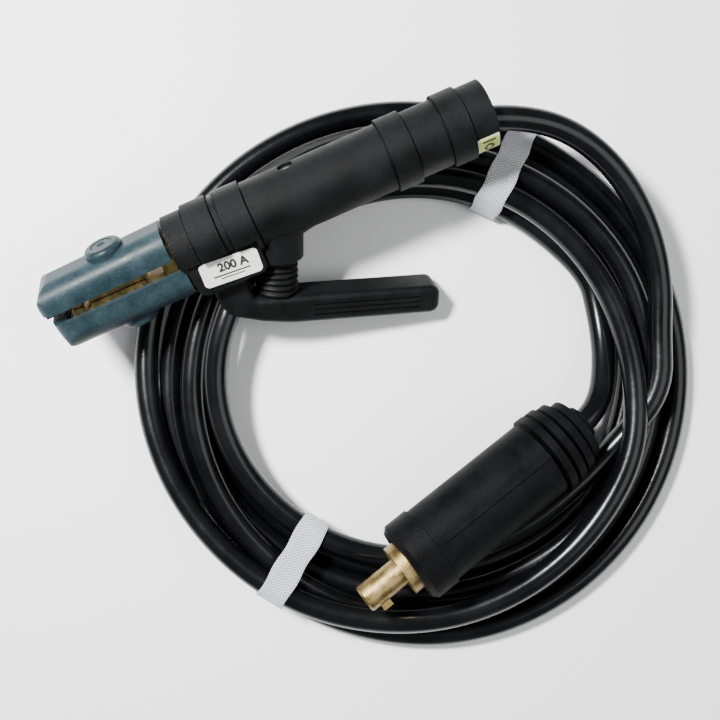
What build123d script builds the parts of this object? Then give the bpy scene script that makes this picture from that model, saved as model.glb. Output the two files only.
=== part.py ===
"""Stick electrode holder with a coiled welding lead, two straps and a bayonet cable plug.

The holder's own frame has x along the handle from the nose to the rear, z towards the fixed
upper jaw and y across.  Every holder piece is modelled in that frame and then laid down: it is
rolled about its long axis and rests on the coiled lead.  Units are millimetres.
"""

import os
from math import cos, pi, radians, sin, tan

from build123d import *

os.makedirs("parts", exist_ok=True)

# How the pieces lie
holder_roll = 33.0  # upper jaw side turned up from lying flat on the side
axis_height = 50.0  # handle axis above the floor
plug_pitch = 9.5  # plug's tip raised on the coil
plug_heading = 13.2  # plug's axis against the handle's
plug_tip = (58.9, -174.9)
plug_tip_height = 47.4

# Lead
cable_radius = 5.7
conductor_radius = 3.9
coil_middle = (119.1, -89.2)
coil_radius = 136.0
coil_shift = (1.9, 0.6)  # outside of the coil against its middle
coil_inner_radius = 91.0
coil_inner_shift = (6.8, -1.7)  # inside of the coil against its middle
coil_height = 26.0
coil_outer_height = 14.0
coil_inner_height = 12.0
coil_outer_slope = 22.0
coil_inner_slope = 16.0
tie_width = 14.0
tie_thickness = 1.0
tie_angles = (-144.7, 40.3)

# Jaws
jaw_plane = -3.5  # height of the plane where the contact bars meet
jaw_gap = 0.1  # half the gap between the closed contact bars
bar_start = 13.6
bar_length = 34.4
bar_width = 19.0
bar_thickness = 3.4
electrode_radius = 2.0
grip_x = 20.0  # electrode groove
upper_bar_inset = 0.9  # the upper bar's sides stand back under the shell's rim
jaw_start = 10.6
jaw_depth = 6.0
jaw_screw_x = 37.0
jaw_screw_radius = 2.5
jaw_screw_head = 4.2
jaw_screw_head_height = 2.6

# Jaw shells
shell_width = 26.0
shell_wall = 3.2
shell_corner = 9.0
shell_length = 63.0
shell_top = 11.3
shell_top_rear = 13.6
shell_nose = 9.2
upper_rim = -0.8
upper_rim_rear = 0.75
lower_rim = -6.2
lower_rim_rear = -5.65
lower_shell_start = 2.3
lower_shell_end = 65.9
lower_shell_bottom = -21.2
boss_radius = 8.8
boss_height = 3.4
cap_radius = 4.9
nose_round = 11.0
nose_corner = 7.5
chin_start = 5.6  # foot of the lower shell's leaning front
tongue_length = 7.0
upper_tongue_start = 1.9
upper_tongue_end = -2.4
lower_tongue_start = 3.4
lower_tongue_end = -4.3

# Pivot and lever
pivot_x = 82.0
pivot_z = -15.0
pin_radius = 3.0
running_gap = 0.05
lug_width = 8.0
lug_radius = 6.0
ear_width = 14.6
ear_radius = 6.0
lever_width = 18.0
lever_depth = 14.0
lever_slope = 21.9
lever_swing = 13.0
lever_length = 72.0
lever_knee = (100.8, -47.9)
spring_setback = 5.9  # from the knee back to the spring's foot
side_gap = 0.3

# Handle
handle_start = 64.6
handle_length = 152.2
handle_radius = 15.4
band_radius = 16.8
bands = ((74.5, 12.0), (90.1, 12.0), (167.7, 11.1), (194.6, 10.7))
band_groove = 0.6  # width and depth of the ring grooves beside the bands
rear_bore_radius = 11.5
cheek_width = 26.4
cheek_start = 67.0
cheek_length = 33.0
cheek_bottom = -21.5
flat_top = -5.0
slot_end = 90.2
cup_radius = 12.5
cup_depth = 3.0
label_size = (27.0, 11.8)
label_thickness = 0.2

# Shank and cable socket
shank_radius = 8.5
shank_end = 132.0
socket_radius = 4.7
socket_depth = 37.0
grub_radius = 3.0
grub_places = (102.0, 113.0)
handle_screw_x = 124.4
handle_screw_radius = 2.0
ferrule_wall = 0.7

# Spring and bellows
spring_length = 20.9
spring_radius = 6.2
wire_radius = 0.8
spring_turns = 6
bellows_radius = 10.0
bellows_ribs = 7
bellows_wall = 1.1
seat_distance = 18.5  # from the lever's back to the cup's mouth

# Plug
plug_pin_radius = 6.5
plug_pin_length = 20.5
plug_flange_radius = 12.2
plug_flange_width = 4.6
plug_collar_radius = 20.0
plug_collar_width = 13.7
plug_body_radius = 19.0
plug_body_length = 65.0
plug_rib_radii = (20.4, 20.0, 18.6, 15.8)
plug_rib_pitch = 5.8
plug_neck_radius = 8.5
plug_neck_length = 4.4
plug_key_height = 2.7
plug_shank_radius = 9.0

# Worked out from the sizes above
tilt = Location((0, 0, 0), (holder_roll - 90, 0, 0))
holder_place = tilt * Location((-grip_x, 0, -jaw_plane))
floor = -(axis_height + jaw_plane * sin(radians(holder_roll)))
plug_spot = Location((*plug_tip, floor + plug_tip_height), (0, 0, plug_heading))
plug_place = plug_spot * Location((0, 0, 0), (0, plug_pitch, 0))
handle_end = handle_start + handle_length
pivot = (pivot_x, pivot_z)
bar_end = bar_start + bar_length
cavity_width = bar_width + 0.6
jaw_top = jaw_plane + jaw_gap + bar_thickness
jaw_underside = jaw_plane - jaw_gap - bar_thickness
slope = radians(lever_slope)
along_lever = Vector(cos(slope), 0, -sin(slope))
spring_way = Vector(sin(slope), 0, cos(slope))
lever_back = Vector(lever_knee[0], 0, lever_knee[1]) + spring_way * (lever_depth / 2)
spring_foot = lever_back - along_lever * spring_setback


def write(piece, label, place=None):
    """Label a finished piece, lay it in its place and save it."""
    piece.part.label = label
    if place is not None:
        piece.part.move(place)
    export_step(piece.part, f"parts/{label}.step")


def across(x):
    """Plane square to the handle at station x, seen with y to the right and z up."""
    return Plane(origin=(x, 0, 0), x_dir=(0, 1, 0), z_dir=(1, 0, 0))


def beside(y=0.0):
    """Plane along the handle at distance y from its middle, with x and z in it."""
    return Plane(origin=(0, y, 0), x_dir=(1, 0, 0), z_dir=(0, -1, 0))


def level(z, x=0.0):
    """Level plane at height z with its origin at station x."""
    return Plane(origin=(x, 0, z), x_dir=(1, 0, 0), z_dir=(0, 0, 1))


def underneath(z, x=0.0):
    """Plane at height z that faces down, with its origin at station x."""
    return Plane(origin=(x, 0, z), x_dir=(1, 0, 0), z_dir=(0, 0, -1))


def spring_plane(distance):
    """Plane square to the spring, at a distance along it from the lever's back."""
    return Plane(origin=spring_foot + spring_way * distance, x_dir=(0, 1, 0), z_dir=spring_way)


def outline(plane, points, radii):
    """Closed outline on a plane, with its own radius at each corner."""
    with BuildSketch(plane) as shape:
        with BuildLine():
            FilletPolyline(points, radius=radii, close=True)
        make_face()
    return shape.sketch


def disc(plane, radius, at=(0, 0)):
    """Round face on a plane."""
    with BuildSketch(plane) as shape:
        with Locations(at):
            Circle(radius)
    return shape.sketch


def block(plane, width, height, at=(0, 0)):
    """Rectangular face on a plane."""
    with BuildSketch(plane) as shape:
        with Locations(at):
            Rectangle(width, height)
    return shape.sketch


# Jaw shells
upper_roof = shell_top - shell_wall + 1.0
lower_floor = lower_shell_bottom + shell_wall + 0.4
upper_boss_top = shell_top + (shell_top_rear - shell_top) * jaw_screw_x / shell_length + boss_height
lower_boss_end = lower_shell_bottom - boss_height
screw_seat = jaw_top + jaw_depth + 2.4
lower_screw_seat = jaw_underside - jaw_depth - 2.4


def shell_section(x, rim, crown):
    """Cross-section of a jaw shell at station x, from its rim to its rounded crown."""
    with BuildSketch(across(x)) as section:
        with Locations((0, (rim + crown) / 2)):
            Rectangle(shell_width, abs(crown - rim))
        corners = section.vertices().sort_by(Axis.Y)
        fillet(corners[-2:] if crown > rim else corners[:2], radius=shell_corner)
    return section.sketch


def shell_plan(start, end):
    """A jaw shell seen from above, with rounded front corners."""
    half = shell_width / 2
    corners = [(end, -half), (start, -half), (start, half), (end, half)]
    return outline(level(0), corners, [0, nose_corner, nose_corner, 0])


with BuildPart() as upper_shell:
    nose_section = shell_section(0, upper_rim, shell_top)
    loft([nose_section, shell_section(shell_length, upper_rim_rear, shell_top_rear)])
    extrude(shell_plan(0, shell_length), amount=40, both=True, mode=Mode.INTERSECT)
    front = [(shell_length, shell_top_rear + 0.3), (0, shell_top + 0.3), (0.8, -9), (shell_length, -9)]
    extrude(outline(beside(), front, [0, nose_round, 0, 0]), amount=20, both=True, mode=Mode.INTERSECT)
    extrude(disc(level(upper_roof, jaw_screw_x), boss_radius), amount=upper_boss_top - upper_roof)
    fillet(upper_shell.faces().sort_by(Axis.Z)[-1].edges(), radius=2.4)
    cavity = block(across(shell_nose), cavity_width, 20, (0, upper_roof - 10))
    extrude(cavity, amount=shell_length, mode=Mode.SUBTRACT)
    extrude(disc(level(jaw_top + jaw_depth, jaw_screw_x), 6.4), amount=upper_roof - jaw_top - jaw_depth)
    extrude(disc(level(jaw_top, jaw_screw_x), jaw_screw_radius + running_gap), amount=30, mode=Mode.SUBTRACT)
    extrude(disc(level(screw_seat, jaw_screw_x), cap_radius + running_gap), amount=30, mode=Mode.SUBTRACT)
    tongue_middle = upper_tongue_start + tongue_length / 2
    tongue = block(level(upper_tongue_end), tongue_length, bar_width, (tongue_middle, 0))
    extrude(tongue, amount=upper_rim + 2 - upper_tongue_end)
write(upper_shell, "upper_shell", holder_place)

with BuildPart() as lower_shell:
    loft(
        [
            shell_section(lower_shell_start, lower_rim, lower_shell_bottom),
            shell_section(lower_shell_end, lower_rim_rear, lower_shell_bottom + 0.4),
        ]
    )
    extrude(shell_plan(lower_shell_start, lower_shell_end), amount=40, both=True, mode=Mode.INTERSECT)
    chin = lower_shell_bottom - 0.3
    front = [(lower_shell_start - 1.3, 0), (chin_start, chin), (lower_shell_end, chin), (lower_shell_end, 0)]
    extrude(outline(beside(), front, [0, 6.5, 2.5, 0]), amount=20, both=True, mode=Mode.INTERSECT)
    extrude(disc(underneath(lower_floor, jaw_screw_x), boss_radius), amount=lower_floor - lower_boss_end)
    fillet(lower_shell.faces().sort_by(Axis.Z)[0].edges(), radius=2.4)
    cavity = block(across(shell_nose + 1.0), cavity_width, 20, (0, lower_floor + 10))
    extrude(cavity, amount=shell_length, mode=Mode.SUBTRACT)
    post_height = jaw_underside - jaw_depth - lower_floor
    extrude(disc(level(lower_floor, jaw_screw_x), 6.4), amount=post_height)
    screw_hole = disc(underneath(jaw_underside, jaw_screw_x), jaw_screw_radius + running_gap)
    extrude(screw_hole, amount=30, mode=Mode.SUBTRACT)
    cap_hole = disc(underneath(lower_screw_seat, jaw_screw_x), cap_radius + running_gap)
    extrude(cap_hole, amount=30, mode=Mode.SUBTRACT)
    tongue = block(underneath(lower_tongue_end), tongue_length - 1, bar_width, (lower_tongue_start + 3, 0))
    extrude(tongue, amount=lower_tongue_end - lower_rim + 2)
write(lower_shell, "lower_shell", holder_place)


# Jaw screws and their caps
def jaw_screw(face, seat, way):
    """Screw that holds a shell and a contact bar on a jaw; way is 1 up or -1 down."""
    with BuildPart() as screw:
        extrude(disc(face(seat, jaw_screw_x), jaw_screw_head), amount=jaw_screw_head_height)
        reach = abs(seat - jaw_plane) - jaw_gap - bar_thickness + 2.0
        extrude(disc(face(seat, jaw_screw_x), jaw_screw_radius), amount=-reach)
        slot = block(face(seat + way * (jaw_screw_head_height - 1.0), jaw_screw_x), 10, 1.2)
        extrude(slot, amount=2, mode=Mode.SUBTRACT)
    return screw


def screw_cap(face, seat, way, crown):
    """Insulating plug over a jaw screw, with a shallow dimple."""
    foot = seat + way * (jaw_screw_head_height + 0.3)
    with BuildPart() as cap:
        extrude(disc(face(foot, jaw_screw_x), cap_radius), amount=abs(crown - foot))
        fillet(cap.faces().sort_by(Axis.Z)[-1 if way > 0 else 0].edges(), radius=0.5)
        with Locations((jaw_screw_x, 0, crown + way * 3.3)):
            Sphere(4.0, mode=Mode.SUBTRACT)
    return cap


upper_screw = jaw_screw(level, screw_seat, 1)
write(upper_screw, "upper_jaw_screw", holder_place)
lower_screw = jaw_screw(underneath, lower_screw_seat, -1)
write(lower_screw, "lower_jaw_screw", holder_place)
upper_cap = screw_cap(level, screw_seat, 1, upper_boss_top - 0.2)
write(upper_cap, "upper_screw_cap", holder_place)
lower_cap = screw_cap(underneath, lower_screw_seat, -1, lower_boss_end + 0.2)
write(lower_cap, "lower_screw_cap", holder_place)


# Contact bars
def contact_bar(face, way, width):
    """Bar that grips the electrode, with a half-round groove across it."""
    middle = bar_start + bar_length / 2
    near = jaw_plane + way * jaw_gap
    with BuildPart() as bar:
        extrude(block(face(near), bar_length, width, (middle, 0)), amount=bar_thickness)
        groove = disc(beside(), electrode_radius, (grip_x, jaw_plane))
        extrude(groove, amount=width, both=True, mode=Mode.SUBTRACT)
        hole = disc(face(near, jaw_screw_x), jaw_screw_radius + running_gap)
        extrude(hole, amount=bar_thickness, mode=Mode.SUBTRACT)
    return bar


upper_bar = contact_bar(level, 1, bar_width - 2 * upper_bar_inset)
write(upper_bar, "upper_contact_bar", holder_place)
lower_bar = contact_bar(underneath, -1, bar_width)
write(lower_bar, "lower_contact_bar", holder_place)

# Upper jaw with shank and cable socket
jaw_end = 63.4
block_length = 6.0
block_bottom = -6.4
with BuildPart() as upper_jaw:
    jaw_middle = (jaw_start + jaw_end) / 2
    extrude(block(level(jaw_top), jaw_end - jaw_start, bar_width - 0.4, (jaw_middle, 0)), amount=jaw_depth)
    foot = block(level(block_bottom), block_length, bar_width - 0.4, (jaw_end - block_length / 2, 0))
    extrude(foot, amount=jaw_top - block_bottom + 0.5)
    extrude(disc(across(jaw_end - 4), shank_radius), amount=shank_end - jaw_end + 4)
    with BuildSketch(beside()):
        with Locations(pivot):
            Circle(lug_radius)
        with Locations((pivot_x, pivot_z / 2)):
            Rectangle(2 * lug_radius, -pivot_z)
    extrude(amount=lug_width / 2, both=True)
    extrude(disc(beside(), pin_radius + running_gap, pivot), amount=lug_width, both=True, mode=Mode.SUBTRACT)
    extrude(disc(level(jaw_top, jaw_screw_x), jaw_screw_radius + running_gap), amount=9, mode=Mode.SUBTRACT)
    extrude(disc(across(shank_end), socket_radius), amount=-socket_depth, mode=Mode.SUBTRACT)
    for place in grub_places:
        extrude(disc(level(0, place), grub_radius + running_gap), amount=20, mode=Mode.SUBTRACT)
    screw_hole = disc(level(0, handle_screw_x), handle_screw_radius + running_gap)
    extrude(screw_hole, amount=20, mode=Mode.SUBTRACT)
write(upper_jaw, "upper_jaw", holder_place)

# Lower jaw with its arm, pivot ears and tail
stop_start = 50.7
stop_length = 6.3
tail_width = 6.0
rivet_radius = 1.6
rivet_length = 14.0
rivet_places = ((85.6, -36.0), (101.0, -47.2))
tail = [(77.0, -26.0), (82.5, -26.0), (91.5, -41.0), (107.0, -47.2), (105.2, -51.4), (88.0, -44.5)]
arm_top = -shank_radius - 0.5
arm = [
    (stop_start - 4, jaw_underside),
    (stop_start + stop_length, jaw_underside),
    (stop_start + stop_length + 2, arm_top),
    (pivot_x, pivot_z + ear_radius),
    (pivot_x, pivot_z - ear_radius),
    (pivot_x - 6, pivot_z - ear_radius),
    (stop_start + 11, jaw_underside - jaw_depth - 1.5),
    (stop_start - 4, jaw_underside - jaw_depth),
]
tail_block = (10.5, 7.0)


def arm_outline(grow):
    """Side view of the lower jaw's arm, ears and tail block, grown by a clearance."""
    with BuildSketch(beside()) as shape:
        with BuildLine():
            Polyline(*arm, close=True)
        make_face()
        with Locations(pivot):
            Circle(ear_radius)
        with Locations((pivot_x - 0.7, pivot_z - ear_radius + 1.0 - tail_block[1] / 2)):
            Rectangle(*tail_block)
        if grow:
            offset(amount=grow)
    return shape.sketch


def tail_outline(grow):
    """Side view of the tail that is moulded into the lever, grown by a clearance."""
    with BuildSketch(beside()) as shape:
        with BuildLine():
            Polyline(*tail, close=True)
        make_face()
        if grow:
            offset(amount=grow)
    return shape.sketch


def lug_room():
    """Side view of the room that the lug needs between the ears over the lever's whole swing."""
    reach = lug_radius + 0.6
    with BuildSketch(beside()) as shape:
        with Locations(pivot):
            Circle(reach)
        for turn in (0, -lever_swing):
            with Locations(Location((*pivot, 0), (0, 0, turn))):
                with Locations((0, 10)):
                    Rectangle(2 * reach, 20)
    return shape.sketch


with BuildPart() as lower_jaw:
    jaw_middle = (jaw_start + stop_start) / 2
    bar_face = block(underneath(jaw_underside), stop_start - jaw_start, bar_width, (jaw_middle, 0))
    extrude(bar_face, amount=jaw_depth)
    stop_face = block(underneath(jaw_plane - 0.3), stop_length, bar_width, (stop_start + stop_length / 2, 0))
    extrude(stop_face, amount=jaw_plane - 0.3 - jaw_underside + jaw_depth)
    extrude(arm_outline(0), amount=ear_width / 2, both=True)
    extrude(tail_outline(0), amount=tail_width / 2, both=True)
    extrude(lug_room(), amount=lug_width / 2 + side_gap, both=True, mode=Mode.SUBTRACT)
    extrude(disc(beside(), pin_radius + running_gap, pivot), amount=ear_width, both=True, mode=Mode.SUBTRACT)
    for place in rivet_places:
        hole = disc(beside(), rivet_radius + running_gap, place)
        extrude(hole, amount=tail_width, both=True, mode=Mode.SUBTRACT)
    screw_hole = disc(underneath(jaw_underside, jaw_screw_x), jaw_screw_radius + running_gap)
    extrude(screw_hole, amount=jaw_depth, mode=Mode.SUBTRACT)
write(lower_jaw, "lower_jaw", holder_place)

# Lever
root_radius = 7.5
knee = Vector(lever_knee[0], 0, lever_knee[1])
half_depth = spring_way * (lever_depth / 2)
bar_tip = knee + along_lever * lever_length
seat_start = lever_back - along_lever * 16.5


def flat(point):
    """A point of the holder's middle plane as the side view's own pair."""
    return (point.X, point.Z)


lever_side = [
    (pivot_x - 5.0, pivot_z + 3.5),
    (pivot_x - 10.0, pivot_z - 9.0),
    (pivot_x - 9.8, pivot_z - 22.0),
    (pivot_x + 5.0, pivot_z - 33.0),
    flat(knee - half_depth),
    flat(bar_tip - half_depth),
    flat(bar_tip + half_depth),
    flat(seat_start),
    (pivot_x + 5.6, pivot_z - 14.5),
    (pivot_x + 6.8, pivot_z - 3.0),
]
lever_radii = [0, 6.0, 13.0, 18.0, 60.0, 4.5, 4.5, 2.0, 6.0, 0]
pocket_gap = 0.15
spigot_radius = 5.0
spigot_height = 3.5
lever_edge = 3.0
ridge_groove = 0.7  # width and depth of the fine grooves along the lever's sides
ridge_shifts = (-2.6, 0.0, 2.6)

with BuildPart() as lever:
    extrude(outline(beside(), lever_side, lever_radii), amount=lever_width / 2, both=True)
    extrude(disc(beside(), root_radius, pivot), amount=lever_width / 2, both=True)
    rim = lever.faces().filter_by(Axis.Y).edges()
    fillet(rim.filter_by(lambda edge: edge.center().X > seat_start.X + 1), radius=lever_edge)
    extrude(disc(spring_plane(-1.0), spigot_radius), amount=spigot_height + 1.0)
    pocket = arm_outline(pocket_gap)
    extrude(pocket, amount=ear_width / 2 + pocket_gap, both=True, mode=Mode.SUBTRACT)
    extrude(lug_room(), amount=ear_width / 2 + pocket_gap, both=True, mode=Mode.SUBTRACT)
    extrude(tail_outline(pocket_gap), amount=tail_width / 2 + pocket_gap, both=True, mode=Mode.SUBTRACT)
    extrude(disc(beside(), pin_radius + side_gap, pivot), amount=lever_width, both=True, mode=Mode.SUBTRACT)
    for place in rivet_places:
        hole = disc(beside(lever_width / 2), rivet_radius + running_gap, place)
        extrude(hole, amount=rivet_length + 0.3, mode=Mode.SUBTRACT)
    for shift in ridge_shifts:
        middle = knee + along_lever * (0.5 * lever_length) + spring_way * shift
        with BuildSketch(beside()) as ridge:
            with Locations(Location((*flat(middle), 0), (0, 0, -lever_slope))):
                Rectangle(0.72 * lever_length, ridge_groove)
        for side in (-1, 1):
            face = ridge.sketch.moved(Location((0, side * lever_width / 2, 0)))
            extrude(face, amount=side * ridge_groove, mode=Mode.SUBTRACT)
write(lever, "lever", holder_place)

with BuildPart() as lever_rivets:
    for place in rivet_places:
        extrude(disc(beside(lever_width / 2 - 0.4), rivet_radius, place), amount=rivet_length - 0.4)
write(lever_rivets, "lever_rivets", holder_place)

# Pivot pin and its clip
recess = 1.4
recess_radius = 4.7
pin_head = 4.5
with BuildPart() as pivot_pin:
    outer = cheek_width / 2
    extrude(disc(beside(outer - recess), pin_radius, pivot), amount=cheek_width - recess - 0.3)
    extrude(disc(beside(outer - recess), pin_head, pivot), amount=-(recess - 0.2))
write(pivot_pin, "pivot_pin", holder_place)

with BuildPart() as pivot_clip:
    extrude(disc(beside(-outer + recess), pin_head, pivot), amount=0.9)
    hole = disc(beside(-outer + recess), pin_radius + running_gap, pivot)
    extrude(hole, amount=2, both=True, mode=Mode.SUBTRACT)
write(pivot_clip, "pivot_clip", holder_place)

# Handle sleeve
slot_top = -6.0
bore_clearance = 0.1
screw_recess_radius = 3.6
screw_recess_floor = 11.6
with BuildPart() as handle_sleeve:
    extrude(disc(across(handle_start), handle_radius), amount=handle_length)
    for start, width in bands:
        extrude(disc(across(start), band_radius), amount=width)
        for edge in (start - band_groove, start + width):
            with BuildSketch(across(edge)):
                Circle(band_radius)
                Circle(handle_radius - band_groove, mode=Mode.SUBTRACT)
            extrude(amount=band_groove, mode=Mode.SUBTRACT)
    for side in (-1, 1):
        middle = (cheek_start + cheek_length / 2, flat_top - 20)
        flat_side = block(beside(side * cheek_width / 2), cheek_length, 40, middle)
        extrude(flat_side, amount=-side * 10, mode=Mode.SUBTRACT)
    cheek_end = cheek_start + cheek_length
    cheek = [
        (cheek_start, flat_top),
        (cheek_start, cheek_bottom),
        (cheek_end, cheek_bottom),
        (cheek_end, flat_top),
    ]
    extrude(outline(beside(), cheek, [0, 5.0, 4.0, 0]), amount=cheek_width / 2, both=True)
    extrude(disc(spring_plane(seat_distance), cup_radius), amount=20)
    front_room = block(underneath(flat_top), 20, 60, (cheek_start - 10, 0))
    extrude(front_room, amount=40, mode=Mode.SUBTRACT)
    slot = block(underneath(slot_top), 40, lever_width + 2 * side_gap, (slot_end - 20, 0))
    extrude(slot, amount=40, mode=Mode.SUBTRACT)
    seat_floor = spring_plane(seat_distance + cup_depth)
    extrude(disc(seat_floor, bellows_radius + 0.2), amount=-seat_distance - cup_depth, mode=Mode.SUBTRACT)
    shank_bore = disc(across(handle_start), shank_radius + bore_clearance)
    extrude(shank_bore, amount=shank_end + 1 - handle_start, mode=Mode.SUBTRACT)
    extrude(disc(across(shank_end + 1), rear_bore_radius), amount=handle_length, mode=Mode.SUBTRACT)
    pin_hole = disc(beside(), pin_radius + running_gap, pivot)
    extrude(pin_hole, amount=cheek_width, both=True, mode=Mode.SUBTRACT)
    for side in (-1, 1):
        pocket = disc(beside(side * cheek_width / 2), recess_radius, pivot)
        extrude(pocket, amount=side * recess, mode=Mode.SUBTRACT)
    screw_hole = disc(level(0, handle_screw_x), handle_screw_radius + running_gap)
    extrude(screw_hole, amount=20, mode=Mode.SUBTRACT)
    screw_recess = disc(level(screw_recess_floor, handle_screw_x), screw_recess_radius)
    extrude(screw_recess, amount=20, mode=Mode.SUBTRACT)
write(handle_sleeve, "handle_sleeve", holder_place)

with BuildPart() as handle_screw:
    extrude(disc(level(screw_recess_floor, handle_screw_x), screw_recess_radius - 0.3), amount=2.0)
    thread = screw_recess_floor - socket_radius - 0.4
    extrude(disc(level(screw_recess_floor, handle_screw_x), handle_screw_radius), amount=-thread)
    slot = block(level(screw_recess_floor + 1.2, handle_screw_x), 8, 1.0)
    extrude(slot, amount=2, mode=Mode.SUBTRACT)
write(handle_screw, "handle_screw", holder_place)

# Labels
label_tilt = -5.0
with BuildPart() as rating_label:
    with BuildSketch(beside(-cheek_width / 2)):
        with Locations(Location((84.6, -13.2, 0), (0, 0, label_tilt))):
            RectangleRounded(*label_size, 2.2)
    extrude(amount=label_thickness)
write(rating_label, "rating_label", holder_place)

sticker_middle = 216.0
sticker_half = 19.0
sticker_start = 205.7
sticker_length = 10.2
with BuildPart() as rear_sticker:
    with BuildSketch(across(sticker_start)):
        with BuildLine():
            inner = CenterArc((0, 0), handle_radius + 0.02, sticker_middle - sticker_half, 2 * sticker_half)
            outside = CenterArc((0, 0), handle_radius + 0.22, sticker_middle - sticker_half, 2 * sticker_half)
            Line(inner @ 0, outside @ 0)
            Line(inner @ 1, outside @ 1)
        make_face()
    extrude(amount=sticker_length)
write(rear_sticker, "rear_sticker", holder_place)

# Spring and bellows
end_gap = 0.2
with BuildPart() as spring:
    rise = spring_length - 2 * wire_radius - 2 * end_gap
    first = spring_foot + spring_way * (wire_radius + end_gap + 0.1)
    with BuildLine() as wire:
        pitch = rise / spring_turns
        Helix(pitch=pitch, height=rise, radius=spring_radius, center=first, direction=spring_way)
    with BuildSketch(Plane(origin=wire.line @ 0, z_dir=wire.line % 0)):
        Circle(wire_radius)
    sweep(path=wire.line, is_frenet=True)
write(spring, "spring", holder_place)

bellows_length = seat_distance + cup_depth
rib_height = (bellows_length - 2 * end_gap) / bellows_ribs
with BuildPart() as bellows:
    radial = Plane(origin=spring_foot, x_dir=(0, 1, 0), z_dir=Vector(0, 1, 0).cross(spring_way))
    skin = []
    for rib in range(bellows_ribs):
        low = end_gap + rib * rib_height
        skin += [
            (bellows_radius - 1.4, low),
            (bellows_radius, low + 0.35 * rib_height),
            (bellows_radius, low + 0.65 * rib_height),
        ]
    skin.append((bellows_radius - 1.4, bellows_length - end_gap))
    lining = [(radius - bellows_wall, height) for radius, height in reversed(skin)]
    with BuildSketch(radial):
        with BuildLine():
            Polyline(*skin, *lining, close=True)
        make_face()
    revolve(axis=Axis(spring_foot, spring_way))
write(bellows, "bellows", holder_place)

# Cable end in the handle
lead_joint = 190.0
socket_end = shank_end - socket_depth
with BuildPart() as lead_in_handle:
    extrude(disc(across(shank_end + 2), cable_radius), amount=lead_joint - shank_end - 2)
write(lead_in_handle, "lead_in_handle", holder_place)

with BuildPart() as holder_conductor:
    extrude(disc(across(socket_end + 1), conductor_radius), amount=socket_depth + 1)
write(holder_conductor, "holder_conductor", holder_place)


def ferrule(start, length):
    """Copper sleeve round the stripped end of the lead."""
    with BuildPart() as sleeve:
        extrude(disc(across(start), conductor_radius + running_gap + ferrule_wall), amount=length)
        bore = disc(across(start), conductor_radius + running_gap)
        extrude(bore, amount=length, mode=Mode.SUBTRACT)
    return sleeve


def grub_screws(places, reach):
    """Set screws with hexagon sockets that press on a ferrule."""
    seat = conductor_radius + running_gap + ferrule_wall
    with BuildPart() as screws:
        for place in places:
            extrude(disc(level(seat, place), grub_radius), amount=reach - seat)
            with BuildSketch(level(reach - 2.0, place)):
                RegularPolygon(radius=1.7, side_count=6)
            extrude(amount=3, mode=Mode.SUBTRACT)
    return screws


holder_ferrule = ferrule(socket_end + 1.5, socket_depth - 2)
write(holder_ferrule, "holder_ferrule", holder_place)
holder_grubs = grub_screws(grub_places, shank_radius - 1.0)
write(holder_grubs, "holder_set_screws", holder_place)

# Plug
flange_end = plug_pin_length + plug_flange_width
collar_end = flange_end + plug_collar_width
body_end = collar_end + plug_body_length
ribs_end = body_end + len(plug_rib_radii) * plug_rib_pitch
plug_end = ribs_end + plug_neck_length
plug_shank_end = 68.0
plug_socket_start = 33.0
plug_grub_places = (46.0, 57.0)
lead_start = 119.0
exit_shift = (0.9, -0.5)  # the mouth's middle at the exit, where the lead starts to bend
key_start = 4.6
key_length = 4.8
rib_width = 3.8
groove_depth = 2.6
rail_width = 3.3
rail_height = 0.8
rail_angle = 7.7

with BuildPart() as plug_contact:
    extrude(disc(across(0), plug_pin_radius), amount=plug_pin_length)
    chamfer(plug_contact.faces().sort_by(Axis.X)[0].edges(), length=0.8)
    key_face = block(beside(), key_length, 4.0, (key_start + key_length / 2, 0))
    extrude(key_face, amount=plug_pin_radius + plug_key_height)
    extrude(disc(across(plug_pin_length), plug_flange_radius), amount=plug_flange_width)
    extrude(disc(across(flange_end), plug_shank_radius), amount=plug_shank_end - flange_end)
    socket = disc(across(plug_shank_end), socket_radius)
    extrude(socket, amount=plug_socket_start - plug_shank_end, mode=Mode.SUBTRACT)
    for place in plug_grub_places:
        extrude(disc(level(0, place), grub_radius + running_gap), amount=20, mode=Mode.SUBTRACT)
write(plug_contact, "plug_contact", plug_place)

with BuildPart() as plug_sleeve:
    extrude(disc(across(flange_end), plug_collar_radius), amount=plug_collar_width)
    chamfer(plug_sleeve.faces().sort_by(Axis.X)[0].edges(), length=2.4)
    extrude(disc(across(collar_end), plug_body_radius), amount=plug_body_length)
    rail = block(across(collar_end + 2), rail_width, 4, (0, plug_body_radius + rail_height - 2))
    extrude(rail.rotate(Axis.X, -rail_angle), amount=plug_body_length - 2)
    core = min(plug_rib_radii) - groove_depth
    extrude(disc(across(body_end), core), amount=ribs_end - body_end)
    for rib, radius in enumerate(plug_rib_radii):
        extrude(disc(across(body_end + (rib + 1) * plug_rib_pitch - rib_width), radius), amount=rib_width)
    extrude(disc(across(ribs_end), plug_neck_radius, exit_shift), amount=plug_neck_length)
    shank_bore = disc(across(flange_end), plug_shank_radius + bore_clearance)
    extrude(shank_bore, amount=plug_shank_end + 1 - flange_end, mode=Mode.SUBTRACT)
    lead_bore = disc(across(plug_shank_end), cable_radius + bore_clearance)
    extrude(lead_bore, amount=lead_start - plug_shank_end, mode=Mode.SUBTRACT)
    mouth = [
        disc(across(lead_start), cable_radius + bore_clearance),
        disc(across(plug_end), cable_radius + 1.3, exit_shift),
    ]
    loft(mouth, mode=Mode.SUBTRACT)
write(plug_sleeve, "plug_sleeve", plug_place)

with BuildPart() as lead_in_plug:
    extrude(disc(across(plug_shank_end + 1.5), cable_radius), amount=lead_start - plug_shank_end - 1.5)
write(lead_in_plug, "lead_in_plug", plug_place)

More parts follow.
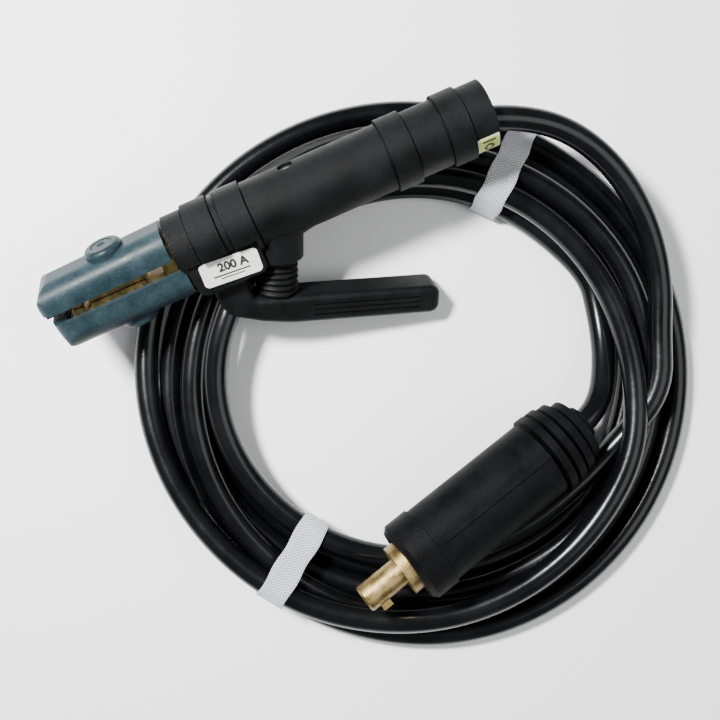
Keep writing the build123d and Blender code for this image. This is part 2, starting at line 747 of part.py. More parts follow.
with BuildPart() as plug_conductor:
    strand_length = plug_shank_end - plug_socket_start + 0.5
    extrude(disc(across(plug_socket_start + 1), conductor_radius), amount=strand_length)
write(plug_conductor, "plug_conductor", plug_place)

plug_ferrule = ferrule(plug_socket_start + 1.5, plug_shank_end - plug_socket_start - 2)
write(plug_ferrule, "plug_ferrule", plug_place)
plug_grubs = grub_screws(plug_grub_places, plug_shank_radius - 1.0)
write(plug_grubs, "plug_set_screws", plug_place)


# Free lead: the two stretches that aren't coiled
def height(above_floor):
    """Height above the floor as a z value."""
    return floor + above_floor


def corner_radii(points):
    """The largest arc at each corner that both of its runs allow."""
    radii = []
    for before, corner, after in zip(points, points[1:], points[2:]):
        first, second = corner - before, after - corner
        turn = radians(first.get_angle(second))
        radii.append(0.45 * min(first.length, second.length) / tan(turn / 2))
    return radii


def free_lead(points):
    """Round lead along straight runs joined by tangent arcs."""
    radii = corner_radii(points)
    with BuildPart() as lead:
        with BuildLine() as path:
            FilletPolyline(*points, radius=radii)
        way = path.wire()
        with BuildSketch(Plane(origin=way @ 0, z_dir=way % 0)):
            Circle(cable_radius)
        sweep(path=way)
    ratio = lead.part.volume / (way.length * pi * cable_radius**2)
    print("lead length", round(way.length, 1), "radii", [round(r, 1) for r in radii])
    print("volume ratio", round(ratio, 4))
    return lead


handle_mouth = (holder_place * Location((lead_joint, 0, 0))).position
plug_mouth = (plug_place * Location((lead_start, 0, 0))).position
plug_turn = (plug_place * Location((lead_start + 14, 0, 0))).position
holder_route = [
    handle_mouth,
    Vector(189.0, handle_mouth.Y, handle_mouth.Z),
    Vector(208.0, -3.6, height(47.8)),
    Vector(225.0, -13.6, height(43.4)),
    Vector(238.0, -28.4, height(38.0)),
    Vector(246.4, -46.8, height(32.8)),
    Vector(249.6, -66.0, height(28.8)),
    Vector(248.6, -85.0, height(26.2)),
    Vector(244.0, -103.0, height(24.6)),
    Vector(236.4, -119.4, height(23.6)),
]
plug_route = [
    plug_mouth,
    plug_turn,
    Vector(197.8, -138.6, height(20.8)),
    Vector(206.2, -128.0, height(15.0)),
    Vector(213.0, -114.9, height(9.8)),
    Vector(217.6, -99.6, height(6.9)),
    Vector(220.6, -83.6, height(6.2)),
]
lead_to_holder = free_lead(holder_route)
write(lead_to_holder, "lead_to_holder")
lead_to_plug = free_lead(plug_route)
write(lead_to_plug, "lead_to_plug")

# Straps round the coil
tie_spans = ((84.5, 134.0), (92.5, 140.0))
tie_heights = (28.0, 28.0)
strap_round = 7.0


def strap_plane(angle):
    """Upright plane through the coil's middle at an angle, seen with its radius to the right."""
    way = radians(angle)
    side = Vector(cos(way), sin(way), 0)
    return Plane(origin=(*coil_middle, floor), x_dir=side, z_dir=side.cross(Vector(0, 0, 1)))


def strap_face(number, inset):
    """Section of the bundle that a strap goes round, drawn in by an inset."""
    low, high = tie_spans[number]
    top = tie_heights[number]
    with BuildSketch(strap_plane(tie_angles[number])) as shape:
        with Locations(((low + high) / 2, top / 2)):
            RectangleRounded(high - low - 2 * inset, top - 2 * inset, strap_round - inset)
    return shape.sketch


def strap(number):
    """Woven strap closed round the coil."""
    with BuildPart() as band:
        extrude(strap_face(number, 0), amount=tie_width / 2, both=True)
        extrude(strap_face(number, tie_thickness), amount=tie_width / 2, both=True, mode=Mode.SUBTRACT)
    return band


def strap_channel(number):
    """Room that a strap takes out of the coil's outer shape."""
    with BuildPart() as channel:
        section = block(strap_plane(tie_angles[number]), 100, 80, (110, 0))
        extrude(section, amount=tie_width / 2 + 0.2, both=True)
        extrude(strap_face(number, tie_thickness), amount=tie_width, both=True, mode=Mode.SUBTRACT)
    return channel


lower_strap = strap(0)
write(lower_strap, "lower_strap")
upper_strap = strap(1)
write(upper_strap, "upper_strap")

# Coil
on_floor = (Align.CENTER, Align.CENTER, Align.MIN)
outside = Vector(coil_middle[0] + coil_shift[0], coil_middle[1] + coil_shift[1], floor)
inside = Vector(coil_middle[0] + coil_inner_shift[0], coil_middle[1] + coil_inner_shift[1], floor)
outer_rise = coil_height - coil_outer_height
inner_rise = coil_height - coil_inner_height
with BuildPart() as lead_coil:
    with Locations(outside):
        Cylinder(coil_radius, coil_outer_height, align=on_floor)
    with Locations(outside + Vector(0, 0, coil_outer_height)):
        Cone(coil_radius, coil_radius - coil_outer_slope, outer_rise, align=on_floor)
    with Locations(inside):
        Cylinder(coil_inner_radius, coil_inner_height, align=on_floor, mode=Mode.SUBTRACT)
    with Locations(inside + Vector(0, 0, coil_inner_height)):
        Cone(coil_inner_radius, coil_inner_radius + coil_inner_slope, inner_rise, align=on_floor, mode=Mode.SUBTRACT)
    for number in range(len(tie_angles)):
        add(strap_channel(number).part, mode=Mode.SUBTRACT)
    add(lead_to_holder.part, mode=Mode.SUBTRACT)
    add(lead_to_plug.part, mode=Mode.SUBTRACT)
    plug_bound = max(plug_rib_radii) + 0.5
    plug_room = Solid.make_cylinder(plug_bound, plug_end + 4, Plane(origin=(0, 0, 0), z_dir=(1, 0, 0)))
    add(plug_room.moved(plug_place), mode=Mode.SUBTRACT)
write(lead_coil, "lead_coil")
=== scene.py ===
import math

import bpy
import numpy as np
from mathutils import Matrix, Vector


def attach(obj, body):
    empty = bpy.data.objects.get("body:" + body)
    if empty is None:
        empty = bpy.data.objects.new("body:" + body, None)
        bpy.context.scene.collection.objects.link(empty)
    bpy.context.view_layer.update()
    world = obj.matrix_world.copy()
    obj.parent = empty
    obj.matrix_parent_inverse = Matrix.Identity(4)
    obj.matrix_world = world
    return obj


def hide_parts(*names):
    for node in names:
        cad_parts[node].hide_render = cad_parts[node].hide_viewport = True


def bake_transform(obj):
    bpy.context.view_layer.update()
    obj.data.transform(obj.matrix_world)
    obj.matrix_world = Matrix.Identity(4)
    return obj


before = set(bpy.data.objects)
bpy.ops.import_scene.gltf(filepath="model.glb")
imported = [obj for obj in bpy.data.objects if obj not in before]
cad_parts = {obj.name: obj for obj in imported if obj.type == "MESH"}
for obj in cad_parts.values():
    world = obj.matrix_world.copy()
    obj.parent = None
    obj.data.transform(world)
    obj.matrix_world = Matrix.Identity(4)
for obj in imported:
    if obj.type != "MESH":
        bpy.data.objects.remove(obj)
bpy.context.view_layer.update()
print("frame loaded")

mm = 0.001

# how the holder and the plug lie, the same as in the model
lie = {
    "roll": math.radians(33.0),
    "gripX": 20.0,
    "jawPlane": -3.5,
    "axisHeight": 50.0,
    "plugTip": (58.9, -174.9, 47.4),
    "plugHeading": math.radians(13.2),
    "plugPitch": math.radians(9.5),
}
floorZ = -(lie["axisHeight"] + lie["jawPlane"] * math.sin(lie["roll"])) * mm


def holderSpot(x, y, z):
    # a point of the holder's own frame, in metres of the shared frame
    up = z - lie["jawPlane"]
    sinRoll, cosRoll = math.sin(lie["roll"]), math.cos(lie["roll"])
    return Vector((x - lie["gripX"], sinRoll * y + cosRoll * up, sinRoll * up - cosRoll * y)) * mm


def plugSpot(distance):
    # a point of the plug's axis
    heading, pitch = lie["plugHeading"], lie["plugPitch"]
    level = math.cos(pitch)
    way = Vector((level * math.cos(heading), level * math.sin(heading), -math.sin(pitch)))
    tip = Vector(lie["plugTip"]) * mm
    return tip + Vector((0, 0, floorZ)) + way * distance * mm


def deselectAll():
    if bpy.context.object and bpy.context.object.mode != "OBJECT":
        bpy.ops.object.mode_set(mode="OBJECT")
    bpy.ops.object.select_all(action="DESELECT")


def pick(piece):
    deselectAll()
    piece.select_set(True)
    bpy.context.view_layer.objects.active = piece


def settle(piece):
    # the piece's place goes into its mesh
    pick(piece)
    bpy.ops.object.transform_apply(location=True, rotation=True, scale=True)


# finishes
finishes = {
    "jawShell": {"dark": (0.008, 0.018, 0.023), "light": (0.021, 0.039, 0.047), "patch": 110, "grain": 1000,
                 "rough": (0.34, 0.50), "bump": 0.12, "fine": 0.50, "shine": 0.16},
    "cap": {"dark": (0.008, 0.017, 0.022), "light": (0.020, 0.036, 0.044), "patch": 160, "grain": 1200,
            "rough": (0.34, 0.5), "bump": 0.08, "fine": 0.3, "shine": 0.16},
    "handlePlastic": {"dark": (0.0020, 0.0021, 0.0023), "light": (0.0075, 0.0078, 0.0082), "patch": 60,
                      "grain": 2300, "rough": (0.40, 0.58), "bump": 0.80, "fine": 1.4, "shine": 0.09},
    "plugRubber": {"dark": (0.0016, 0.0017, 0.0019), "light": (0.0050, 0.0052, 0.0056), "patch": 70,
                   "grain": 1100, "rough": (0.42, 0.62), "bump": 0.30, "fine": 0.6, "shine": 0.05},
    "bellowsRubber": {"dark": (0.0016, 0.0016, 0.0018), "light": (0.0055, 0.0055, 0.006), "patch": 110,
                      "grain": 1300, "rough": (0.42, 0.60), "bump": 0.2, "fine": 0.4, "shine": 0.10},
    "cableRubber": {"dark": (0.0012, 0.0013, 0.0015), "light": (0.0035, 0.0038, 0.0042), "patch": 45,
                    "grain": 500, "rough": (0.17, 0.28), "bump": 0.08, "fine": 0.25, "shine": 0.24},
    "brass": {"dark": (0.17, 0.115, 0.040), "light": (0.42, 0.31, 0.13), "patch": 190, "grain": 1400,
              "rough": (0.30, 0.52), "bump": 0.25, "fine": 0.5, "metal": 1.0},
    "copper": {"dark": (0.35, 0.13, 0.07), "light": (0.60, 0.28, 0.16), "patch": 150, "grain": 1500,
               "rough": (0.35, 0.5), "bump": 0.2, "fine": 0.4, "metal": 1.0},
    "steel": {"dark": (0.22, 0.22, 0.22), "light": (0.46, 0.46, 0.45), "patch": 260, "grain": 1800,
              "rough": (0.28, 0.45), "bump": 0.15, "fine": 0.4, "metal": 1.0},
    "label": {"dark": (0.66, 0.66, 0.63), "light": (0.80, 0.80, 0.78), "patch": 120, "grain": 900,
              "rough": (0.36, 0.48), "bump": 0.03, "fine": 0.1},
    "labelInk": {"dark": (0.010, 0.010, 0.012), "light": (0.03, 0.03, 0.03), "patch": 700, "grain": 1500,
                 "rough": (0.45, 0.6), "bump": 0.02, "fine": 0.1},
    "sticker": {"dark": (0.42, 0.50, 0.06), "light": (0.58, 0.66, 0.13), "patch": 220, "grain": 1000,
                "rough": (0.34, 0.5), "bump": 0.03, "fine": 0.1},
    "stickerEdge": {"dark": (0.55, 0.62, 0.40), "light": (0.68, 0.74, 0.52), "patch": 300, "grain": 1000,
                    "rough": (0.36, 0.5), "bump": 0.03, "fine": 0.1},
}


def addNode(tree, kind, **values):
    node = tree.nodes.new(kind)
    for name, value in values.items():
        if hasattr(node, name):
            setattr(node, name, value)
        else:
            node.inputs[name.replace("_", " ")].default_value = value
    return node


def mixColour(tree, factor, first, second, blend="MIX"):
    node = tree.nodes.new("ShaderNodeMix")
    node.data_type = "RGBA"
    node.blend_type = blend
    for socket, value in ((node.inputs[0], factor), (node.inputs[6], first), (node.inputs[7], second)):
        if hasattr(value, "is_output"):
            tree.links.new(value, socket)
        else:
            socket.default_value = value if isinstance(value, float) else (*value, 1)
    return node.outputs[2]


def makeFinish(name, spec):
    finish = bpy.data.materials.new(name)
    finish.use_nodes = True
    tree = finish.node_tree
    shader = tree.nodes["Principled BSDF"]
    shader.inputs["Metallic"].default_value = spec.get("metal", 0.0)
    shader.inputs["Specular IOR Level"].default_value = spec.get("shine", 0.5)
    coords = tree.nodes.new("ShaderNodeTexCoord")
    patches = addNode(tree, "ShaderNodeTexNoise", Scale=float(spec["patch"]), Detail=5.0, Roughness=0.6)
    grains = addNode(tree, "ShaderNodeTexNoise", Scale=float(spec["grain"]), Detail=3.0, Roughness=0.65)
    flecks = addNode(tree, "ShaderNodeTexVoronoi", Scale=float(spec["grain"]) * 0.9)
    for texture in (patches, grains, flecks):
        tree.links.new(coords.outputs["Object"], texture.inputs["Vector"])
    spread = addNode(tree, "ShaderNodeMapRange")
    spread.inputs["From Min"].default_value = 0.32
    spread.inputs["From Max"].default_value = 0.68
    tree.links.new(patches.outputs["Fac"], spread.inputs["Value"])
    body = mixColour(tree, spread.outputs["Result"], spec["dark"], spec["light"])
    speckle = addNode(tree, "ShaderNodeMapRange")
    speckle.inputs["From Min"].default_value = 0.35
    speckle.inputs["From Max"].default_value = 0.75
    speckle.inputs["To Min"].default_value = 1.0 - spec["fine"] * 0.5
    speckle.inputs["To Max"].default_value = 1.0 + spec["fine"] * 0.5
    tree.links.new(grains.outputs["Fac"], speckle.inputs["Value"])
    shade = addNode(tree, "ShaderNodeCombineColor")
    for channel in range(3):
        tree.links.new(speckle.outputs["Result"], shade.inputs[channel])
    speckled = mixColour(tree, 1.0, body, shade.outputs["Color"], "MULTIPLY")
    tree.links.new(speckled, shader.inputs["Base Color"])
    gloss = addNode(tree, "ShaderNodeMapRange")
    gloss.inputs["From Min"].default_value = 0.3
    gloss.inputs["From Max"].default_value = 0.7
    gloss.inputs["To Min"].default_value = spec["rough"][0]
    gloss.inputs["To Max"].default_value = spec["rough"][1]
    tree.links.new(patches.outputs["Fac"], gloss.inputs["Value"])
    tree.links.new(gloss.outputs["Result"], shader.inputs["Roughness"])
    height = addNode(tree, "ShaderNodeMath", operation="ADD")
    tree.links.new(grains.outputs["Fac"], height.inputs[0])
    tree.links.new(flecks.outputs["Distance"], height.inputs[1])
    relief = addNode(tree, "ShaderNodeBump", Strength=spec["bump"], Distance=0.0002)
    tree.links.new(height.outputs["Value"], relief.inputs["Height"])
    tree.links.new(relief.outputs["Normal"], shader.inputs["Normal"])
    return finish


madeFinishes = {name: makeFinish(name, spec) for name, spec in finishes.items()}


def dress(piece, name):
    piece.data.materials.clear()
    piece.data.materials.append(madeFinishes[name])


# which finish each node of the frame wears
nodeFinish = {
    "upper_shell": "jawShell", "lower_shell": "jawShell",
    "upper_screw_cap": "cap", "lower_screw_cap": "cap",
    "upper_jaw_screw": "steel", "lower_jaw_screw": "steel",
    "upper_contact_bar": "brass", "lower_contact_bar": "brass",
    "upper_jaw": "brass", "lower_jaw": "brass",
    "lever": "handlePlastic", "lever_rivets": "steel",
    "pivot_pin": "steel", "pivot_clip": "steel",
    "handle_sleeve": "handlePlastic", "handle_screw": "steel",
    "rating_label": "label", "rear_sticker": "stickerEdge",
    "lead_in_handle": "cableRubber", "holder_conductor": "copper",
    "holder_ferrule": "copper", "holder_set_screws": "steel",
    "plug_contact": "brass", "plug_sleeve": "plugRubber",
    "lead_in_plug": "cableRubber", "plug_conductor": "copper",
    "plug_ferrule": "copper", "plug_set_screws": "steel",
}
for node, name in nodeFinish.items():
    dress(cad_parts[node], name)
print("frame dressed")

# camera
view = {"place": (100.5, -75.5, 416.9), "turn": -23.7, "lens": 46.5}
camera = bpy.data.objects.new("camera", bpy.data.cameras.new("camera"))
camera.location = Vector(view["place"]) * mm
camera.rotation_euler = (0, 0, math.radians(view["turn"]))
camera.data.lens = view["lens"]
camera.data.sensor_width = 36
camera.data.clip_start = 0.01
bpy.context.scene.collection.objects.link(camera)
bpy.context.scene.camera = camera

# lead
# radii go round eight to a turn, from the holder's end on top to the plug's end at the bottom
lead = {
    "radius": 5.7,
    "middle": (119.1, -89.2),
    "planStart": 345,
    "planStep": 45,
    "firstAngle": 365,
    "lastAngle": 2480,
    "step": 15,
    "angleShift": 23.7,
    "plan": [
        124, 98, 92, 91, 94, 95, 94, 98,
        104, 112, 118, 120, 126, 129, 128, 127,
        128, 130, 130, 125, 118, 113, 114, 117,
        124, 127, 124, 114, 106, 101, 103, 110,
        117, 116, 110, 108, 105, 102, 101, 106,
        113, 111, 105, 101, 99, 95, 92, 95, 102,
    ],
    "fromHolder": [
        (170.0, 2.94, 50.0), (189.0, 2.94, 50.0), (208.0, -3.6, 47.8), (225.0, -13.6, 43.4),
        (238.0, -28.4, 38.0), (246.4, -46.8, 32.8), (249.6, -66.0, 28.8), (248.6, -85.0, 26.2),
        (244.0, -103.0, 24.6), (236.4, -119.4, 23.6),
    ],
    "fromPlug": [
        (197.8, -138.6, 20.8), (206.2, -128.0, 15.0), (213.0, -114.9, 9.8), (217.6, -99.6, 6.9),
        (220.6, -83.6, 6.2),
    ],
    "plugStart": 119.0,
    "plugTurn": 133.0,
}


def leadPoint(point):
    return Vector((point[0] * mm, point[1] * mm, floorZ + point[2] * mm))


def planRadius(angle):
    # a smooth line through the plan's radii
    place = (angle - lead["planStart"]) / lead["planStep"]
    number = int(place)
    part = place - number
    last = len(lead["plan"]) - 1
    a, b, c, d = (lead["plan"][min(max(number + k, 0), last)] for k in (-1, 0, 1, 2))
    slope, bow, twist = c - a, 2 * a - 5 * b + 4 * c - d, 3 * b - a - 3 * c + d
    return 0.5 * (2 * b + slope * part + bow * part**2 + twist * part**3)


def inTheWay():
    # bars with round ends that the lead keeps clear of: start, end and radius in mm
    def bar(start, end, radius):
        lift = Vector((0, 0, floorZ))
        return np.array((start - lift) / mm), np.array((end - lift) / mm), radius

    holderBars = [
        ((64.6, 0, 0), (217, 0, 0), 16.8),
        ((4, 4, -12.2), (66, 4, -12.2), 9.0),
        ((4, -4, -12.2), (66, -4, -12.2), 9.0),
        ((4, 4, -2), (66, 4, -2), 9.0),
        ((37, 0, -14), (37, 0, -20), 6.5),
        ((67, 12.7, -21), (100, 12.7, -21), 0.5),
        ((67, 4, -21), (100, 4, -21), 0.5),
        ((67, 13, -12), (100, 13, -12), 0.5),
        ((72.5, 8.5, -27), (72.5, 8.5, -37), 0.5),
        ((72.5, 8.5, -37), (79, 8.5, -43), 0.5),
        ((79, 8.5, -43), (98, 8.5, -54), 0.5),
    ]
    plugBars = [(0, 25, 6.5), (20.5, 25, 12.2), (27, 37, 20.0), (42, 88, 19.3), (112, 122, 20.4)]
    bars = [bar(holderSpot(*start), holderSpot(*end), radius) for start, end, radius in holderBars]
    bars += [bar(plugSpot(start), plugSpot(end), radius) for start, end, radius in plugBars]
    for route in (lead["fromHolder"][5:9], lead["fromPlug"]):
        bars += [(np.array(p), np.array(q), lead["radius"] - 0.4) for p, q in zip(route, route[1:])]
    return bars


# how the turns settle, in mm
lay = {"steps": 900, "lowest": 6.0, "stack": 45.0, "hold": 0.04, "smooth": 0.25, "gap": 0.1, "clear": 0.4}


def layCoil():
    # turns start apart, one over the next, then sink until they rest on each other and on the floor
    middleX, middleY = lead["middle"]
    angles = np.arange(lead["firstAngle"], lead["lastAngle"] + 1, lead["step"], dtype=float)
    ways = -np.radians(angles + lead["angleShift"])
    outX, outY = np.cos(ways), np.sin(ways)
    wanted = np.array([planRadius(angle) for angle in angles])
    radius = wanted.copy()
    height = lay["lowest"] + (angles[-1] - angles) / (angles[-1] - angles[0]) * lay["stack"]
    thick = 2 * lead["radius"]
    perTurn = 360 // lead["step"]
    bars = inTheWay()
    for step in range(lay["steps"]):
        height -= 0.25 * (1 - step / lay["steps"]) + 0.02
        radius += lay["hold"] * (wanted - radius)
        height[1:-1] += lay["smooth"] * ((height[:-2] + height[2:]) / 2 - height[1:-1])
        beside = (radius[:-2] + radius[2:] - wanted[:-2] - wanted[2:]) / 2
        radius[1:-1] += lay["smooth"] * (beside - radius[1:-1] + wanted[1:-1])
        height[0] += 0.5 * (lead["fromHolder"][-1][2] - 0.3 - height[0])
        height[-1] += 0.5 * (lead["fromPlug"][-1][2] - height[-1])
        for turns in range(1, len(angles) // perTurn + 1):
            count = len(angles) - turns * perTurn
            upper, lower = np.arange(count), np.arange(count) + turns * perTurn
            apartR, apartZ = radius[upper] - radius[lower], height[upper] - height[lower]
            apart = np.hypot(apartR, apartZ) + 1e-9
            push = 0.4 * np.maximum(0, thick + lay["gap"] - apart) / apart
            np.add.at(radius, upper, push * apartR)
            np.add.at(height, upper, push * apartZ)
            np.add.at(radius, lower, -push * apartR)
            np.add.at(height, lower, -push * apartZ)
        for start, end, size in bars:
            spots = np.stack((middleX + radius * outX, middleY + radius * outY, height), 1)
            along = end - start
            share = np.clip((spots - start) @ along / (along @ along), 0, 1)
            away = spots - (start + share[:, None] * along)
            gap = np.linalg.norm(away, axis=1) + 1e-9
            push = 0.8 * np.maximum(0, size + lead["radius"] + lay["clear"] - gap)
            sideways = (away[:, 0] * outX + away[:, 1] * outY) / gap
            upwards = away[:, 2] / gap
            inPlane = np.hypot(sideways, upwards) + 1e-9
            radius += push * sideways / inPlane
            height += push * upwards / inPlane
        height = np.maximum(height, lead["radius"])
    return [(middleX + r * x, middleY + r * y, h) for r, x, y, h in zip(radius, outX, outY, height)]


def makeLead():
    points = [leadPoint(p) for p in lead["fromHolder"]]
    points += [leadPoint(p) for p in layCoil()]
    points += [leadPoint(p) for p in reversed(lead["fromPlug"])]
    points += [plugSpot(lead["plugTurn"]), plugSpot(lead["plugStart"])]
    curve = bpy.data.curves.new("lead", "CURVE")
    curve.dimensions = "3D"
    spline = curve.splines.new("NURBS")
    spline.points.add(len(points) - 1)
    for spot, point in zip(spline.points, points):
        spot.co = (*point, 1)
    spline.order_u = 3
    spline.use_endpoint_u = True
    spline.resolution_u = 6
    curve.resolution_u = 6
    curve.bevel_depth = lead["radius"] * mm
    curve.bevel_resolution = 7
    curve.use_fill_caps = True
    piece = bpy.data.objects.new("lead", curve)
    bpy.context.scene.collection.objects.link(piece)
    return piece


def lineOf(piece):
    # the points of a curve's own middle line
    bare = piece.copy()
    bare.data = piece.data.copy()
    bare.data.bevel_depth = 0
    mesh = bpy.data.meshes.new_from_object(bare)
    line = [v.co.copy() for v in mesh.vertices]
    bpy.data.objects.remove(bare)
    return line


leadPiece = makeLead()
dress(leadPiece, "cableRubber")
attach(leadPiece, "holder")
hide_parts("lead_coil", "lead_to_holder", "lead_to_plug")
leadLine = lineOf(leadPiece)
leadLength = sum((b - a).length for a, b in zip(leadLine, leadLine[1:]))
leadTop = (max(p.z for p in leadLine) - floorZ) / mm
print("lead laid,", round(leadLength, 3), "m, top at", round(leadTop, 1), "mm")

# straps
straps = {
    "lower": {"angle": -144.7, "node": "lower_strap"},
    "upper": {"angle": 40.3, "node": "upper_strap"},
    "width": 13.6,
    "thickness": 1.0,
    "points": 120,
    "columns": 7,
    "lift": 0.7,
    "sway": 0.35,
    "patch": 0.01,  # one unit of the weave's map, in metres
    "edges": (-0.0068, 0.0, 0.0068),  # cuts through the bundle, half the width each way, in metres
    "roundPoints": 24,
    "topLimit": 30,  # the upper strap leaves out the lead above this height
}


def hullOf(spots):
    # outline of flat points, anticlockwise
    spots = sorted(set(spots))

    def half(row):
        chain = []
        for spot in row:
            while len(chain) > 1:
                (ax, ay), (bx, by) = chain[-2], chain[-1]
                if (bx - ax) * (spot[1] - ay) - (by - ay) * (spot[0] - ax) > 0:
                    break
                chain.pop()
            chain.append(spot)
        return chain[:-1]

    return half(spots) + half(spots[::-1])


def bundleOutline(angle, grow):
    # line round the turns that cross the upright plane at an angle
    way = math.radians(angle)
    out, side = Vector((math.cos(way), math.sin(way), 0)), Vector((-math.sin(way), math.cos(way), 0))
    middle = Vector((lead["middle"][0] * mm, lead["middle"][1] * mm, 0))
    size = lead["radius"] * mm + grow
    spots = []
    for a, b in zip(leadLine, leadLine[1:]):
        sideA, sideB = (a - middle).dot(side), (b - middle).dot(side)
        for edge in straps["edges"]:
            if (sideA - edge) * (sideB - edge) < 0 and (a - middle).dot(out) > 0:
                share = (edge - sideA) / (sideB - sideA)
                point = a.lerp(b, share)
                if angle > 0 and point.z - floorZ > straps["topLimit"] * mm:
                    continue
                for k in range(straps["roundPoints"]):
                    turn = 2 * math.pi * k / straps["roundPoints"]
                    reach = (point - middle).dot(out) + size * math.cos(turn)
                    spots.append((reach, max(point.z + size * math.sin(turn), floorZ + grow)))
    return hullOf(spots), out, middle, side


def evenPoints(outline, count):
    closed = outline + outline[:1]
    lengths = [0.0]
    for (ax, ay), (bx, by) in zip(closed, closed[1:]):
        lengths.append(lengths[-1] + math.hypot(bx - ax, by - ay))
    result = []
    for k in range(count):
        wanted = lengths[-1] * k / count
        number = max(i for i in range(len(lengths) - 1) if lengths[i] <= wanted)
        share = (wanted - lengths[number]) / (lengths[number + 1] - lengths[number])
        (ax, ay), (bx, by) = closed[number], closed[number + 1]
        result.append((ax + (bx - ax) * share, ay + (by - ay) * share))
    return result, lengths[-1]


def softened(points):
    # each point drawn towards its neighbours
    following = points[1:] + points[:1]
    return [((points[k - 1][0] + 2 * points[k][0] + following[k][0]) / 4,
             (points[k - 1][1] + 2 * points[k][1] + following[k][1]) / 4) for k in range(len(points))]


def makeStrap(name, angle):
    # a woven band closed along the outline, with its own map for the weave
    outline, out, middle, side = bundleOutline(angle, straps["lift"] * mm)
    points, around = evenPoints(outline, straps["points"])
    points = softened(softened(points))
    columns, rows = straps["columns"], len(points)
    half = straps["width"] * mm / 2
    patch = straps["patch"]
    verts, faces, places = [], [], []
    for k, (radius, z) in enumerate(points):
        for column in range(columns):
            share = 2 * column / (columns - 1) - 1
            sway = straps["sway"] * mm * math.sin(k * 0.35 + 2.0 * share)
            spot = middle + out * radius + side * (share * half + sway)
            verts.append((spot.x, spot.y, z))
            places.append((around * k / rows / patch, share * half / patch))
    for k in range(rows):
        for column in range(columns - 1):
            here, there = k * columns + column, (k + 1) % rows * columns + column
            faces.append((here, there, there + 1, here + 1))
    mesh = bpy.data.meshes.new(name)
    mesh.from_pydata(verts, [], faces)
    layer = mesh.uv_layers.new(name="weave")
    for polygon in mesh.polygons:
        row = polygon.index // (columns - 1)
        for loop in polygon.loop_indices:
            u, v = places[mesh.loops[loop].vertex_index]
            if row == rows - 1 and u < 0.5:
                u += around / patch
            layer.data[loop].uv = (u, v)
    piece = bpy.data.objects.new(name, mesh)
    bpy.context.scene.collection.objects.link(piece)
    pick(piece)
    solid = piece.modifiers.new("wall", "SOLIDIFY")
    solid.thickness = straps["thickness"] * mm
    solid.offset = 0
    bpy.ops.object.modifier_apply(modifier="wall")
    bevel = piece.modifiers.new("edge", "BEVEL")
    bevel.width = 0.3 * mm
    bevel.segments = 2
    bpy.ops.object.modifier_apply(modifier="edge")
    bpy.ops.object.mode_set(mode="EDIT")
    bpy.ops.mesh.select_all(action="SELECT")
    bpy.ops.mesh.normals_make_consistent(inside=False)
    bpy.ops.object.mode_set(mode="OBJECT")
    bpy.ops.object.shade_smooth_by_angle(angle=math.radians(40))
    piece.data.materials.append(madeFinishes["strap"])
    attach(piece, "holder")
    return piece


def weaveFinish():
    finish = bpy.data.materials.new("strap")
    finish.use_nodes = True
    tree = finish.node_tree
    shader = tree.nodes["Principled BSDF"]
    shader.inputs["Roughness"].default_value = 0.82
    shader.inputs["Sheen Weight"].default_value = 0.3
    chart = tree.nodes.new("ShaderNodeUVMap")
    chart.uv_map = "weave"
    waves = []
    for turn in (42, -42):
        spin = addNode(tree, "ShaderNodeMapping")
        spin.inputs["Rotation"].default_value = (0, 0, math.radians(turn))
        wave = addNode(tree, "ShaderNodeTexWave", Scale=2.6, Distortion=0.6, Detail=1.0)
        tree.links.new(chart.outputs["UV"], spin.inputs["Vector"])
        tree.links.new(spin.outputs["Vector"], wave.inputs["Vector"])
        waves.append(wave.outputs["Fac"])
    weave = addNode(tree, "ShaderNodeMath", operation="MAXIMUM")
    tree.links.new(waves[0], weave.inputs[0])
    tree.links.new(waves[1], weave.inputs[1])
    coords = tree.nodes.new("ShaderNodeTexCoord")
    fuzz = addNode(tree, "ShaderNodeTexNoise", Scale=1400.0, Detail=3.0)
    dirt = addNode(tree, "ShaderNodeTexNoise", Scale=120.0, Detail=4.0)
    tree.links.new(coords.outputs["Object"], fuzz.inputs["Vector"])
    tree.links.new(coords.outputs["Object"], dirt.inputs["Vector"])
    # painted shade: the low parts of the weave, the gaps between the threads, are coloured dark grey and
    # the raised threads pale grey
    threadsWithGapShade = mixColour(tree, weave.outputs["Value"], (0.12, 0.13, 0.15), (0.72, 0.73, 0.75))
    dusty = mixColour(tree, dirt.outputs["Fac"], (0.62, 0.62, 0.63), (1.0, 1.0, 1.0))
    tree.links.new(mixColour(tree, 1.0, threadsWithGapShade, dusty, "MULTIPLY"), shader.inputs["Base Color"])
    height = addNode(tree, "ShaderNodeMath", operation="ADD")
    tree.links.new(weave.outputs["Value"], height.inputs[0])
    tree.links.new(fuzz.outputs["Fac"], height.inputs[1])
    relief = addNode(tree, "ShaderNodeBump", Strength=0.8, Distance=0.0004)
    tree.links.new(height.outputs["Value"], relief.inputs["Height"])
    tree.links.new(relief.outputs["Normal"], shader.inputs["Normal"])
    return finish


madeFinishes["strap"] = weaveFinish()
for side in ("lower", "upper"):
    spec = straps[side]
    band = makeStrap(side + "Strap", spec["angle"])
    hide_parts(spec["node"])
print("straps tied")

# bellows and spring
slope = math.radians(21.9)
springWay = (holderSpot(math.sin(slope), 0, math.cos(slope)) - holderSpot(0, 0, 0)).normalized()
knee = (100.8, -47.9)
springFoot = holderSpot(knee[0] + 7.0 * math.sin(slope) - 5.9 * math.cos(slope), 0,
                        knee[1] + 7.0 * math.cos(slope) + 5.9 * math.sin(slope))
bellows = {"radius": 10.0, "valley": 8.7, "ribs": 7, "length": 21.3, "wall": 1.0, "start": 0.1}
spring = {"radius": 6.2, "wire": 0.8, "turns": 6, "length": 19.1, "start": 1.0}


def standOn(piece, foot, way):
    piece.matrix_world = Matrix.Translation(foot) @ way.to_track_quat("Z", "Y").to_matrix().to_4x4()
    settle(piece)


